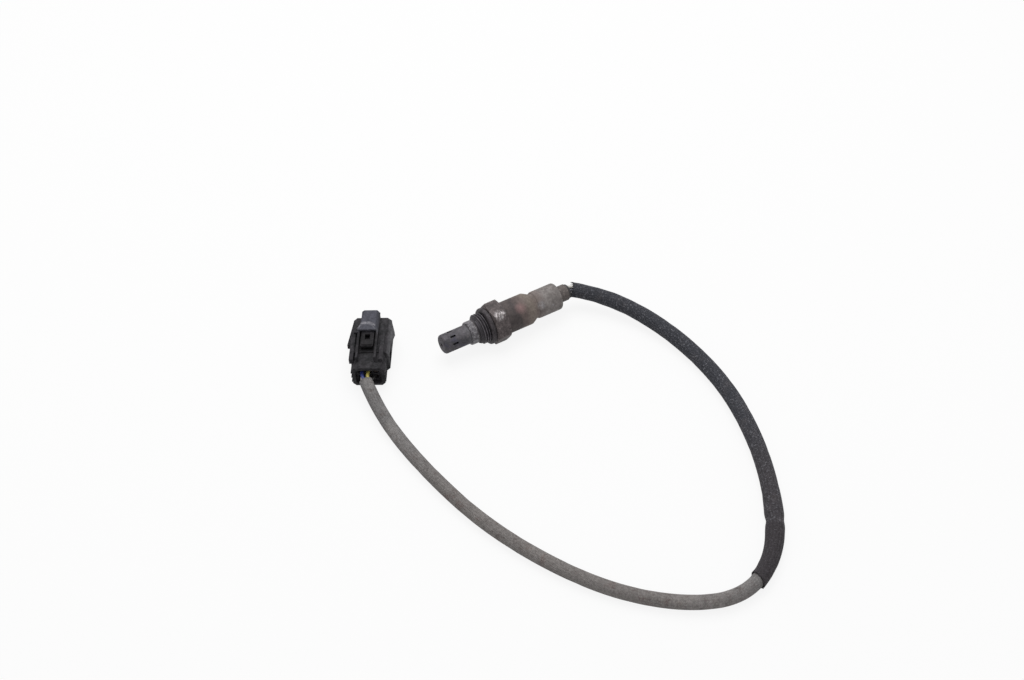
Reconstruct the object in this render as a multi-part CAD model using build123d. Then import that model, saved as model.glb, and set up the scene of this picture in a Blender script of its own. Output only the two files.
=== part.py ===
from build123d import *
import os
from math import cos, radians, sin, tan

# A five-wire wide-band oxygen sensor: screw-in probe, leads in two sleeves, sealed plug.
# Sizes are in millimetres. The sensor lies along X, its tip at -X, on a flat of its hexagon.
# Pieces of the sensor are drawn from the tip at x = 0 and then moved to their place.

# Screw-in body
hex_across_flats = 22.0
hex_length = 9.0
hex_chamfer = 1.1
thread_diameter = 17.9
thread_length = 5.5
thread_lead_in = 1.3
groove_diameter = 15.6
nose_diameter = 13.7
nose_length = 5.2
nose_chamfer = 0.6
lip_thickness = 1.4
lip_bore = 10.0
lip_chamfer = 0.9

# Folded crush washer
washer_outer = 21.7
washer_inner = 16.3
washer_face_inner = 18.2
washer_curl = 0.7
washer_thickness = 3.0
washer_sheet = 0.5
washer_fold = 0.6
washer_play = 0.05

# Double protective cap over the sensing element
cap_diameter = 11.3
cap_wall = 0.5
cap_reach = 16.6
cap_grip = 3.8
cap_edge = 1.1
cap_end_hole = 2.2
slot_count = 8
slot_length = 3.5
slot_width = 1.2
slot_from_tip = 6.4
slot_phase = 19.0
inner_cap_diameter = 7.8
inner_cap_wall = 0.4
inner_cap_gap = 1.6
inner_cap_edge = 0.8
vent_count = 4
vent_diameter = 1.4
vent_to_nose = 2.4

# Ceramic stack around the element
element_width = 4.2
element_thickness = 1.3
element_to_cap = 1.4
element_into_block = 6.8
throat_bore = 8.6
throat_length = 3.6
stack_diameter = 11.9
front_holder_length = 4.0
talc_length = 6.0
ceramic_flange_length = 5.0
ceramic_stem_diameter = 8.6
ceramic_stem_length = 12.6
packing_thickness = 1.0

# Pressed steel casings
case_wall = 0.8
front_case_diameter = 18.8
front_case_length = 16.2
front_shoulder_length = 3.4
neck_diameter = 14.8
neck_overlap = 6.0
waist_gap = 1.2
rear_case_wall = 0.55
rear_case_diameter = 16.1
rear_case_length = 15.0
rear_shoulder_length = 1.2
collar_diameter = 9.7
collar_length = 5.5
rear_edge_back = 0.9
rear_edge_drop = 0.9

# Contact block and rubber grommet
block_diameter = 12.0
block_length = 15.6
block_slot_width = 7.4
block_slot_height = 5.6
spring_ring_length = 5.0
contact_width = 1.0
contact_sheet = 0.3
contact_grip = 4.6
contact_spread = 0.7     # how far out the strips lie, as a share of their leads' places
barrel_length = 3.9
barrel_inset = 0.3
barrel_outer = 2.6
crimp_sides = 8
grommet_lead_ring = 2.4
grommet_stand_out = 1.5
grommet_chamfer = 0.4
grommet_cone_length = 1.5

# Leads and sleeves
lead_diameter = 1.9
lead_count = 5
bundle_gap = 0.12
bundle_twist = -72.0
first_lead_angle = 54.0
lead_colours = ("yellow", "blue", "white", "grey", "black")
tail_bend_radius = 4.6
tail_bend_out = 2.4
fan_radius = 2.8
fan_start = 1.4
fan_end = 1.6
lead_sides = 6
sleeve_sides = 12
sleeve_gap = 0.6
grey_sleeve_wall = 0.8
dark_sleeve_wall = 0.7
dark_sleeve_start = 0.6

# Sealed plug, drawn with its rear face at x = 0 and its latch side up
plug_pitch = 4.0
row_pitch = 4.2
plug_columns = 3
plug_rows = 2
body_length = 37.8
body_width = 21.6
body_height = 15.5
body_wall = 1.6
body_corner = 2.2
rear_length = 11.5
rear_width = 18.0
rear_corner = 1.8
rear_recess = 2.4
rear_rim = 1.1
hood_depth = 18.5
tower_set_back = 1.0
tower_wall = 1.2
seal_bore = 3.5
seal_bore_length = 8.0
terminal_room = 2.5
pin_entry = 1.4
rail_thickness = 1.2
rail_height = 3.1
rail_start = 5.0
rail_to_arm = 0.9
guide_thickness = 2.3
guide_height = 1.3
guide_offset = 7.0
latch_offset = 1.2
arm_width = 7.1
arm_thickness = 1.5
arm_rise = 1.2
arm_rear = 13.6
arm_root_length = 2.0
arm_hole_start = 18.9
arm_hole_length = 3.8
arm_hole_width = 2.9
pad_step = 0.7
pad_length = 3.4
bridge_start = 24.5
bridge_overhang = 1.6
bridge_foot_width = 11.6
bridge_top_width = 8.6
bridge_height = 4.6
bridge_wall = 1.2
left_wing_start = 19.0
right_wing_start = 29.0
wing_end = 37.0
wing_reach = 2.1
wing_bottom = 10.3
wing_thickness = 3.0
pocket_start = 12.8
pocket_length = 8.6
pocket_bottom = 3.2
pocket_height = 6.6
pocket_depth = 0.8
rib_height = 0.5
rib_thickness = 0.9
rib_length = 10.0
rib_levels = (4.4, 7.8, 11.2)
terminal_length = 12.0
terminal_sheet = 0.3
terminal_from_front = 2.6
crimp_length = 5.0
crimp_outer = 2.5
retainer_thickness = 1.2
ring_seal_length = 3.0
ring_seal_thickness = 0.9
ring_seal_rib = 0.4
seal_length = 6.0
seal_sides = 12
blind_head = 1.0
blind_step = 0.3

# Fits
press_gap = 0.02
slide_gap = 0.05
assembly_gap = 0.1
element_gap = 0.1
end_gap = 0.1

# Stations along the sensor, from the tip
nose_front = cap_reach
thread_front = nose_front + nose_length
groove_front = thread_front + thread_length
hex_front = groove_front + washer_thickness + washer_play
hex_rear = hex_front + hex_length
flange_front = nose_front + cap_grip
flange_rear = flange_front + inner_cap_wall
stack_front = flange_rear + throat_length
talc_front = stack_front + front_holder_length
ceramic_front = talc_front + talc_length
packing_front = ceramic_front + ceramic_flange_length
lip_front = packing_front + packing_thickness
lip_end = lip_front + lip_thickness
ceramic_end = packing_front + ceramic_stem_length
shoulder_start = hex_rear + front_case_length
neck_start = shoulder_start + front_shoulder_length
rear_case_front = neck_start + waist_gap
neck_end = rear_case_front + neck_overlap
rear_shoulder_start = rear_case_front + rear_case_length
collar_start = rear_shoulder_start + rear_shoulder_length
collar_end = collar_start + collar_length
sensor_length = collar_end + grommet_stand_out
block_front = ceramic_end + end_gap
block_rear = block_front + block_length
grommet_front = block_rear + end_gap
element_front = inner_cap_gap + cap_wall + inner_cap_wall + element_to_cap
element_rear = block_front + element_into_block
element_length = element_rear - element_front
barrel_front = block_rear - barrel_inset - barrel_length
lead_start = barrel_front + contact_sheet

# Radii that several pieces share
spigot_radius = front_case_diameter / 2 - case_wall - slide_gap
neck_radius = neck_diameter / 2
rear_case_inner = rear_case_diameter / 2 - rear_case_wall
collar_inner = collar_diameter / 2 - rear_case_wall
cap_seat_radius = cap_diameter / 2 + slide_gap
lead_radius = lead_diameter / 2
bundle_ring = (lead_diameter + bundle_gap) / 2 / sin(radians(180 / lead_count))
grey_inner = bundle_ring + lead_radius + sleeve_gap / 2
grey_outer = grey_inner + grey_sleeve_wall
dark_inner = grey_outer + assembly_gap
dark_outer = dark_inner + dark_sleeve_wall

# Where the sensor and the plug lie: the row's origin is under the middle of the sensor
SENSOR = Pos(-sensor_length / 2, 0, hex_across_flats / 2)
axis_height = hex_across_flats / 2
plug_rear_x, plug_rear_y = -86.5, 1.9
plug_yaw = 58.2
plug_roll = -2.0

# The bundle's way from the grommet over the floor to the plug. The first point is the bend
# behind the grommet and the last is the mouth of the grey sleeve.
tail_bend = Vector(sensor_length / 2 + tail_bend_out, 0, axis_height)
floor_points = (
    (60.5, -12.8, 8.8), (77.6, -49.9, 5.3), (81.9, -95.7, 4.6), (73, -138.8, 4.6),
    (56, -177.3, 4.6), (34.3, -206.8, 4.6), (5.5, -218.2, 4.6), (-25.5, -202.8, 3.8),
    (-54.6, -171.2, 3.8), (-79.5, -118.8, 3.8), (-90.1, -65, 3.8), (-92.5, -21, 4.3),
    (-89.5, -0.3, 8.6),
)
route = [tail_bend] + [Vector(point) for point in floor_points]
dark_sleeve_last = 6    # the dark sleeve ends half-way from this point to the next
grey_sleeve_first = 5    # the grey sleeve begins half-way from this point to the next
arc_share = 0.45         # share of the shorter run that an arc takes up


# ---------- shared construction ----------

def turned(*corners):
    """A solid turned about the sensor's axis from the corners (x, radius) of its section."""
    return revolve(make_face(Polyline(*corners, close=True)), Axis.X)


def tube(front, rear, outer, inner):
    """A plain ring or sleeve about the sensor's axis."""
    section = Pos((front + rear) / 2, (outer + inner) / 2) * Rectangle(rear - front, outer - inner)
    return revolve(section, Axis.X)


def drawn(wall, *corners):
    """A pressed sheet-metal cup: the line is its outer side, and the wall lies inside it."""
    section = offset(Polyline(*corners), amount=wall, kind=Kind.INTERSECTION, side=Side.RIGHT)
    return revolve(make_face(section), Axis.X)


def element_slot(front, rear):
    """Room for the flat element, with its clearance, between two stations."""
    return Pos((front + rear) / 2, 0, 0) * Box(
        rear - front, element_width + 2 * element_gap, element_thickness + 2 * element_gap
    )


def bundle_offset(angle, ring):
    """How far a lead lies to the left of the bundle's line, and how far above it."""
    return -ring * cos(radians(angle)), ring * sin(radians(angle))


def lead_angle(index, share):
    """A lead's place round the bundle, share going from 0 at the sensor to 1 at the plug."""
    return first_lead_angle + index * 360 / lead_count + bundle_twist * (1 - share)


# ---------- sensor ----------

def outer_probe_cap():
    """Drawn steel cup with a ring of gas slots, gripped by the nose of the shell."""
    radius = cap_diameter / 2
    cup = drawn(
        cap_wall, (0, cap_end_hole / 2), (0, radius - cap_edge), (cap_edge, radius),
        (flange_front - press_gap, radius),
    )
    for index in range(slot_count):
        angle = radians(slot_phase + index * 360 / slot_count)
        side = Plane(origin=(slot_from_tip, 0, 0), x_dir=(1, 0, 0), z_dir=(0, cos(angle), sin(angle)))
        cup -= extrude(side * SlotOverall(slot_length, slot_width), amount=radius + cap_wall)
    return cup


def inner_probe_cap():
    """Second cup inside the first, vented near the nose, its flange clamped by the outer cup."""
    radius = inner_cap_diameter / 2
    front = cap_wall + inner_cap_gap
    cup = drawn(
        inner_cap_wall, (front, vent_diameter / 2), (front, radius - inner_cap_edge),
        (front + inner_cap_edge, radius), (flange_front, radius), (flange_front, cap_diameter / 2),
    )
    for index in range(vent_count):
        angle = radians(index * 360 / vent_count)
        side = Plane(
            origin=(nose_front - vent_to_nose, 0, 0), x_dir=(1, 0, 0), z_dir=(0, cos(angle), sin(angle))
        )
        cup -= extrude(side * Circle(vent_diameter / 2), amount=radius + cap_wall)
    return cup


def sensing_element():
    """Flat zirconia strip with a chamfered tip, from inside the caps to the contact block."""
    strip = Pos((element_front + element_rear) / 2, 0, 0) * Box(
        element_length, element_width, element_thickness
    )
    tip_edges = strip.faces().sort_by(Axis.X)[0].edges()
    return chamfer(tip_edges, element_thickness / 5)


def hexagon():
    """The spanner flats, with both ends turned to a blunt cone."""
    flats = Plane.YZ.offset(hex_front) * RegularPolygon(
        hex_across_flats / 2, 6, major_radius=False
    )
    corner = hex_across_flats / 2 / cos(radians(30))
    cone_drop = corner - hex_across_flats / 2 + hex_chamfer / 2
    envelope = turned(
        (hex_front, 0), (hex_front, corner - cone_drop), (hex_front + hex_chamfer, corner),
        (hex_rear - hex_chamfer, corner), (hex_rear, corner - cone_drop), (hex_rear, 0),
    )
    return extrude(flats, amount=hex_length) & envelope


def shell():
    """One-piece body: nose, thread, washer groove, hexagon and the spigot for the casing."""
    nose_radius = nose_diameter / 2
    thread_radius = thread_diameter / 2
    stack_radius = stack_diameter / 2 + slide_gap
    bored_body = turned(
        (nose_front, cap_seat_radius), (nose_front, nose_radius - nose_chamfer),
        (nose_front + nose_chamfer, nose_radius), (thread_front, nose_radius),
        (thread_front + thread_lead_in, thread_radius), (groove_front, thread_radius),
        (groove_front, groove_diameter / 2), (hex_front, groove_diameter / 2),
        (hex_front, spigot_radius), (lip_end - lip_chamfer, spigot_radius),
        (lip_end, spigot_radius - lip_chamfer), (lip_end, lip_bore / 2),
        (lip_front, lip_bore / 2), (lip_front, stack_radius), (stack_front, stack_radius),
        (stack_front, throat_bore / 2), (flange_rear, throat_bore / 2),
        (flange_rear, cap_seat_radius),
    )
    nut = hexagon() - tube(hex_front - hex_length, hex_rear + hex_length, spigot_radius, 0)
    return bored_body + nut


def sealing_washer():
    """Captive gasket folded from sheet: a channel bent into a ring, open towards the thread.

    Its front leaf is flat outside the thread and curls back inside it, so that it can't come off.
    """
    front, rear = hex_front - washer_thickness, hex_front
    outer, inner, face_inner = washer_outer / 2, washer_inner / 2, washer_face_inner / 2
    return turned(
        (front + washer_curl, inner), (front, face_inner), (front, outer - washer_fold),
        (front + washer_fold, outer), (rear - washer_fold, outer), (rear, outer - washer_fold),
        (rear, inner), (rear - washer_sheet, inner), (rear - washer_sheet, outer - washer_sheet),
        (front + washer_sheet, outer - washer_sheet), (front + washer_sheet, face_inner),
        (front + washer_curl + washer_sheet, inner),
    )


def front_holder():
    """Ceramic disc that centres the element behind the caps."""
    disc = tube(stack_front, talc_front, stack_diameter / 2, 0)
    return disc - element_slot(stack_front, talc_front)


def talc_seal():
    """Pressed talc that makes the element gas-tight."""
    ring = tube(talc_front, ceramic_front, stack_diameter / 2, 0)
    return ring - element_slot(talc_front, ceramic_front)


def rear_ceramic():
    """Stepped ceramic sleeve that presses on the talc and guides the element's tail."""
    flange = tube(ceramic_front, packing_front, stack_diameter / 2, 0)
    stem = tube(packing_front, ceramic_end, ceramic_stem_diameter / 2, 0)
    return flange + stem - element_slot(ceramic_front, ceramic_end)


def packing_ring():
    """Soft metal ring between the ceramic's flange and the rolled lip of the shell."""
    return tube(
        packing_front, lip_front, stack_diameter / 2, ceramic_stem_diameter / 2 + assembly_gap
    )


def front_casing():
    """Pressed tube welded to the shell, necked down where the rear casing slips over it."""
    radius = front_case_diameter / 2
    return drawn(
        case_wall, (hex_rear, radius), (shoulder_start, radius), (neck_start, neck_radius),
        (neck_end, neck_radius),
    )


def rear_casing():
    """Rear tube with its shoulder, and the collar that is crimped on the grommet."""
    radius = rear_case_diameter / 2
    collar_radius = collar_diameter / 2
    return drawn(
        rear_case_wall, (rear_case_front, radius), (rear_shoulder_start - rear_edge_back, radius),
        (rear_shoulder_start, radius - rear_edge_drop), (collar_start, collar_radius),
        (collar_end, collar_radius),
    )


def lead_centres(ring):
    """The leads' places in the sensor, as (y, z), in the order of lead_colours."""
    return [bundle_offset(lead_angle(index, 0), ring) for index in range(lead_count)]


def contact_block():
    """Ceramic block that carries the contacts, slotted in front and bored for each lead."""
    block = tube(block_front, block_rear, block_diameter / 2, 0)
    slot_end = barrel_front
    block -= Pos((block_front + slot_end) / 2, 0, 0) * Box(
        slot_end - block_front, block_slot_width, block_slot_height
    )
    bore_front = slot_end - contact_sheet
    for y, z in lead_centres(grommet_lead_ring):
        bore = Plane.YZ.offset(bore_front) * Pos(y, z) * Circle(barrel_outer / 2 + slide_gap)
        block -= extrude(bore, amount=block_rear - bore_front)
    return block


def contact(y, z):
    """One contact: a strip that presses on the element and a barrel crimped on its lead."""
    face = 1 if z > 0 else -1
    strip_z = face * (element_thickness / 2 + contact_sheet / 2 + press_gap)
    strip_front = element_rear - contact_grip
    strip = Pos((strip_front + barrel_front) / 2, y * contact_spread, strip_z) * Box(
        barrel_front - strip_front, contact_width, contact_sheet
    )
    low, high = sorted((z, strip_z))
    riser = Pos(barrel_front - contact_sheet / 2, y * (1 + contact_spread) / 2, (low + high) / 2) * Box(
        contact_sheet, contact_width + abs(y) * (1 - contact_spread), high - low + contact_sheet
    )
    round_end = extrude(
        Plane.YZ.offset(barrel_front - contact_sheet) * Pos(y, z)
        * RegularPolygon(barrel_outer / 2, crimp_sides),
        amount=contact_sheet,
    )
    barrel = extrude(
        Plane.YZ.offset(barrel_front) * Pos(y, z)
        * (RegularPolygon(barrel_outer / 2, crimp_sides) - Circle(lead_radius + slide_gap)),
        amount=barrel_length,
    )
    return strip + riser + round_end + barrel


def contact_springs():
    """The contacts, one for each lead."""
    return Compound([contact(y, z) for y, z in lead_centres(grommet_lead_ring)])


def holder_spring():
    """Corrugated spring ring that centres the contact block in the neck."""
    outer = neck_radius - case_wall - slide_gap
    inner = block_diameter / 2 + slide_gap
    sheet = (outer - inner) / 2
    front = neck_start + case_wall
    third = spring_ring_length / 3
    return turned(
        (front, inner), (front, inner + sheet), (front + third, outer),
        (front + 2 * third, outer), (front + 3 * third, inner + sheet),
        (front + 3 * third, inner), (front + 2 * third, outer - sheet),
        (front + third, outer - sheet),
    )


def grommet():
    """Rubber plug with a hole for each lead, squeezed by the rear casing's collar."""
    body_radius = rear_case_inner - slide_gap
    stem_radius = collar_inner - slide_gap
    cone_rear = rear_shoulder_start - rear_case_wall
    plug = turned(
        (grommet_front, 0), (grommet_front, body_radius),
        (cone_rear - grommet_cone_length, body_radius), (cone_rear, stem_radius),
        (sensor_length - grommet_chamfer, stem_radius),
        (sensor_length, stem_radius - grommet_chamfer), (sensor_length, 0),
    )
    for y, z in lead_centres(grommet_lead_ring):
        hole = Plane.YZ.offset(grommet_front) * Pos(y, z) * Circle(lead_radius + slide_gap)
        plug -= extrude(hole, amount=sensor_length - grommet_front)
    return plug


# ---------- plug ----------

def bar(front, rear, width, bottom, top, corner):
    """A length of the plug with a rectangular section whose corners are cut off."""
    outline = Rectangle(width, top - bottom)
    section = Pos(0, (bottom + top) / 2) * chamfer(outline.vertices(), corner)
    return extrude(Plane.YZ.offset(front) * section, amount=rear - front)


def brick(front, rear, left, right, bottom, top):
    """A plain block between two stations, two sides and two levels."""
    return Pos((front + rear) / 2, (left + right) / 2, (bottom + top) / 2) * Box(
        rear - front, abs(left - right), top - bottom
    )


def cavity_centres():
    """Places of the terminal cavities, as (y, z), the upper row first and from left to right."""
    middle = body_height / 2
    return [
        (plug_pitch * ((plug_columns - 1) / 2 - column), middle + row_pitch * (0.5 - row))
        for row in range(plug_rows) for column in range(plug_columns)
    ]


tower_width = plug_pitch * (plug_columns - 1) + terminal_room + 2 * tower_wall
tower_height = row_pitch * (plug_rows - 1) + terminal_room + 2 * tower_wall
hood_floor = body_length - hood_depth
tower_front = body_length - tower_set_back
seal_floor = rear_recess + seal_bore_length
# which cavity each lead goes to, in the order of lead_colours; the one left over is blind
lead_cavities = (1, 0, 3, 4, 5)
blind_cavity = (set(range(plug_columns * plug_rows)) - set(lead_cavities)).pop()


def terminal_tower():
    """Inner block that stands free in the hood and carries the terminals."""
    middle = body_height / 2
    return bar(
        hood_floor - body_wall, tower_front, tower_width,
        middle - tower_height / 2, middle + tower_height / 2, tower_wall / 2,
    )


def cavities():
    """Seal bores, terminal rooms and pin entries to be cut through the plug."""
    cuts = []
    for y, z in cavity_centres():
        spot = Pos(y, z)
        cuts.append(extrude(
            Plane.YZ.offset(rear_recess) * spot
            * RegularPolygon(seal_bore / 2, seal_sides, major_radius=False),
            amount=seal_bore_length,
        ))
        cuts.append(extrude(
            Plane.YZ.offset(seal_floor) * spot * Rectangle(terminal_room, terminal_room),
            amount=tower_front - tower_wall - seal_floor,
        ))
        cuts.append(extrude(
            Plane.YZ.offset(tower_front - tower_wall) * spot * Rectangle(pin_entry, pin_entry),
            amount=tower_wall,
        ))
    return cuts


def latch_rails():
    """Walls beside the lock arm and the lower guides outside them."""
    top = body_height
    inner_face = arm_width / 2 + rail_to_arm
    walls = []
    for side in (1, -1):
        walls.append(brick(
            rail_start, bridge_start + body_wall, side * inner_face,
            side * (inner_face + rail_thickness), top - body_wall / 2, top + rail_height,
        ))
        walls.append(brick(
            rail_start, bridge_start + body_wall, side * guide_offset,
            side * (guide_offset + guide_thickness), top - body_corner, top + guide_height,
        ))
    return walls


def bridge():
    """Arched guard over the front of the lock arm, standing out past the hood."""
    top = body_height
    half_foot = bridge_foot_width / 2
    half_top = bridge_top_width / 2
    length = body_length + bridge_overhang - bridge_start
    arch = Polyline(
        (-half_foot, top - body_wall / 2), (-half_foot, top + bridge_height / 2),
        (-half_top, top + bridge_height), (half_top, top + bridge_height),
        (half_foot, top + bridge_height / 2), (half_foot, top - body_wall / 2), close=True,
    )
    room = Pos(0, top + (bridge_height - bridge_wall) / 2) * Rectangle(
        arm_width + 2 * rail_to_arm, bridge_height - bridge_wall
    )
    overhang = brick(
        body_length, body_length + bridge_overhang, -half_foot, half_foot,
        top - body_wall, top + bridge_height / 2,
    )
    return extrude(Plane.YZ.offset(bridge_start) * (make_face(arch) - room), amount=length) - overhang


def lock_arm():
    """Springy tongue, moulded on at its front end, with a press pad and a catch window."""
    low = body_height + arm_rise
    front = body_length - body_wall
    tongue = brick(arm_rear, front, -arm_width / 2, arm_width / 2, low, low + arm_thickness)
    tongue = chamfer(tongue.edges().filter_by(Axis.Z).group_by(Axis.X)[0], arm_thickness / 3)
    tongue -= brick(
        arm_hole_start, arm_hole_start + arm_hole_length, -arm_hole_width / 2, arm_hole_width / 2,
        low, low + arm_thickness,
    )
    pad = brick(
        arm_rear + pad_step, arm_rear + pad_step + pad_length, pad_step - arm_width / 2,
        arm_width / 2 - pad_step, low + arm_thickness, low + arm_thickness + pad_step,
    )
    root = brick(
        front - arm_root_length, front, -arm_width / 2, arm_width / 2, body_height, low
    )
    return tongue + pad + root


def wings():
    """Tapered rails along both sides, standing out most at their rear ends, the left one longer."""
    side = body_width / 2
    rails = []
    for hand, start in ((1, left_wing_start), (-1, right_wing_start)):
        plan = make_face(Polyline(
            (start, hand * (side - body_wall / 2)), (wing_end, hand * (side - body_wall / 2)),
            (wing_end, hand * side), (start, hand * (side + wing_reach)), close=True,
        ))
        rails.append(extrude(Pos(0, 0, wing_bottom) * plan, amount=wing_thickness, dir=(0, 0, 1)))
    return rails


def side_ribs():
    """Thin ribs along the sides of the narrow rear part."""
    side = rear_width / 2
    return [
        brick(0, rib_length, hand * (side - rib_height), hand * (side + rib_height),
              level - rib_thickness / 2, level + rib_thickness / 2)
        for hand in (1, -1) for level in rib_levels
    ]


def side_pockets():
    """Shallow recesses in the hood's sides behind the wings."""
    side = body_width / 2
    return [
        brick(pocket_start, pocket_start + pocket_length, hand * (side - pocket_depth),
              hand * (side + wing_reach), pocket_bottom, pocket_bottom + pocket_height)
        for hand in (1, -1)
    ]


def plug_housing():
    """Moulded housing: hood, terminal tower, lock arm and its guards are one piece."""
    middle = body_height / 2
    rear = bar(0, rear_length, rear_width, rear_rim, body_height - rear_rim / 2, rear_corner)
    hood = bar(rear_length, body_length, body_width, 0, body_height, body_corner)
    housing = rear + hood
    for cut in side_pockets():
        housing -= cut
    latch = Pos(0, latch_offset, 0)
    for piece in wings() + side_ribs() + [latch * wall for wall in latch_rails()]:
        housing += piece
    housing -= bar(
        hood_floor, body_length, body_width - 2 * body_wall, body_wall, body_height - body_wall,
        body_corner - body_wall,
    )
    housing += latch * bridge()
    housing += latch * lock_arm()
    housing += terminal_tower()
    housing -= bar(
        0, rear_recess, tower_width + rear_rim, middle - tower_height / 2 - rear_rim / 2,
        middle + tower_height / 2 + rear_rim / 2, rear_rim,
    )
    for cut in cavities():
        housing -= cut
    return housing


def terminal_retainer():
    """Front plate of the tower, with a square window for each pin."""
    middle = body_height / 2
    plate = bar(
        tower_front + press_gap, tower_front + press_gap + retainer_thickness, tower_width,
        middle - tower_height / 2, middle + tower_height / 2, tower_wall / 2,
    )
    for y, z in cavity_centres():
        plate -= extrude(
            Plane.YZ.offset(tower_front) * Pos(y, z) * Rectangle(pin_entry, pin_entry),
            amount=2 * retainer_thickness,
        )
    return plate


def ring_seal():
    """Rubber ring round the root of the tower, with a sealing rib."""
    middle = body_height / 2
    rib = ring_seal_length / 3
    width = tower_width + 2 * ring_seal_thickness
    height = tower_height + 2 * ring_seal_thickness
    front = hood_floor + press_gap
    ring = bar(front, front + ring_seal_length, width, middle - height / 2, middle + height / 2,
               tower_wall)
    ring += bar(front + rib, front + 2 * rib, width + 2 * ring_seal_rib,
                middle - height / 2 - ring_seal_rib, middle + height / 2 + ring_seal_rib,
                tower_wall + ring_seal_rib)
    return ring - bar(
        front, front + ring_seal_length, tower_width + 2 * slide_gap,
        middle - tower_height / 2 - slide_gap, middle + tower_height / 2 + slide_gap,
        tower_wall / 2 + slide_gap,
    )


def seal_body(inner):
    """A small rubber plug along X from x = 0 that fills a seal bore."""
    section = RegularPolygon(seal_bore / 2 - slide_gap, seal_sides)
    if inner:
        section -= RegularPolygon(inner, seal_sides, major_radius=False)
    return extrude(Plane.YZ * section, amount=seal_length)


def wire_seals():
    """One seal on each lead, pushed into the rear of its cavity."""
    seat = seal_floor - seal_length - press_gap
    places = [cavity_centres()[cavity] for cavity in lead_cavities]
    return Compound([Pos(seat, y, z) * seal_body(lead_radius + slide_gap / 2) for y, z in places])


def blind_plug():
    """Solid plug that closes the cavity without a lead, with a head to pull it by."""
    y, z = cavity_centres()[blind_cavity]
    seat = seal_floor - seal_length - press_gap
    head = extrude(
        Plane.YZ.offset(-blind_head) * RegularPolygon(seal_bore / 2 - blind_step, seal_sides),
        amount=blind_head,
    )
    return Pos(seat, y, z) * (seal_body(0) + head)


def terminal():
    """Box-section receptacle with an open crimp barrel, drawn from the barrel's rear end."""
    room = terminal_room - 2 * slide_gap
    barrel = extrude(
        Plane.YZ
        * (RegularPolygon(crimp_outer / 2, crimp_sides)
           - RegularPolygon(lead_radius, crimp_sides, major_radius=False)),
        amount=crimp_length,
    )
    box_section = Rectangle(room, room) - Rectangle(
        room - 2 * terminal_sheet, room - 2 * terminal_sheet
    )
    box = extrude(Plane.YZ.offset(crimp_length) * box_section, amount=terminal_length)
    floor = extrude(
        Plane.YZ.offset(crimp_length) * Rectangle(room, room), amount=terminal_sheet
    )
    return barrel + box + floor


def terminals():
    """A receptacle on the end of each lead."""
    rear = tower_front - terminal_from_front - terminal_length - crimp_length
    places = [cavity_centres()[cavity] for cavity in lead_cavities]
    return Compound([Pos(rear, y, z) * terminal() for y, z in places])


lead_end = tower_front - terminal_from_front - terminal_length - end_gap


def plug_place():
    """The plug's place: rolled a little on its side, its lowest edge on the floor."""
    turn = Rot(0, 0, plug_yaw) * Rot(plug_roll, 0, 0)
    lowest = (turn * plug_housing()).bounding_box().min.Z
    return Pos(plug_rear_x, plug_rear_y, -lowest) * turn


# ---------- leads and sleeves ----------

def bend_radii(points):
    """The largest arc that each corner's two runs allow."""
    radii = []
    for before, corner, after in zip(points, points[1:], points[2:]):
        run_in, run_out = corner - before, after - corner
        half_turn = radians(run_in.get_angle(run_out)) / 2
        radii.append(arc_share * min(run_in.length, run_out.length) / tan(half_turn))
    return radii


route_radii = bend_radii(route)


def halfway(index):
    """The middle of the run that starts at this point of the route."""
    return (route[index] + route[index + 1]) * 0.5


def sleeve(points, radii, outer, inner):
    """A plain tube along runs joined by tangent arcs."""
    line = FilletPolyline(*points, radius=radii)
    ring = RegularPolygon(outer, sleeve_sides) - RegularPolygon(inner, sleeve_sides, major_radius=False)
    return sweep(Plane(line @ 0, z_dir=line % 0) * ring, path=line)


def dark_sleeve():
    """Woven sleeve from the sensor's tail to just past the joint of the two sleeves."""
    start = tail_bend + (route[1] - tail_bend).normalized() * dark_sleeve_start
    points = [start] + route[1:dark_sleeve_last + 1] + [halfway(dark_sleeve_last)]
    radii = bend_radii([start, route[1], route[2]]) + route_radii[1:dark_sleeve_last]
    return sleeve(points, radii, dark_outer, dark_inner)


def grey_sleeve():
    """Slimmer sleeve that begins inside the dark one and runs to the plug."""
    points = [halfway(grey_sleeve_first)] + route[grey_sleeve_first + 1:]
    return sleeve(points, route_radii[grey_sleeve_first:], grey_outer, grey_inner)


def parallel_corner(index, left, up):
    """A corner of a line that keeps its distance to the left of the route and above it."""
    run_in = (route[index] - route[index - 1]) if index else Vector(1, 0, 0)
    run_out = route[index + 1] - route[index] if index + 1 < len(route) else run_in
    middle = (Vector(run_in.X, run_in.Y).normalized() + Vector(run_out.X, run_out.Y).normalized())
    across = Vector(-middle.Y, middle.X).normalized()
    half_turn = radians(Vector(run_in.X, run_in.Y).get_angle(Vector(run_out.X, run_out.Y))) / 2
    return route[index] + across * (left / cos(half_turn)) + Vector(0, 0, up)


def turns_left(index):
    """Whether the route bends to the left at this point."""
    run_in, run_out = route[index] - route[index - 1], route[index + 1] - route[index]
    return run_in.X * run_out.Y > run_in.Y * run_out.X


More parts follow.
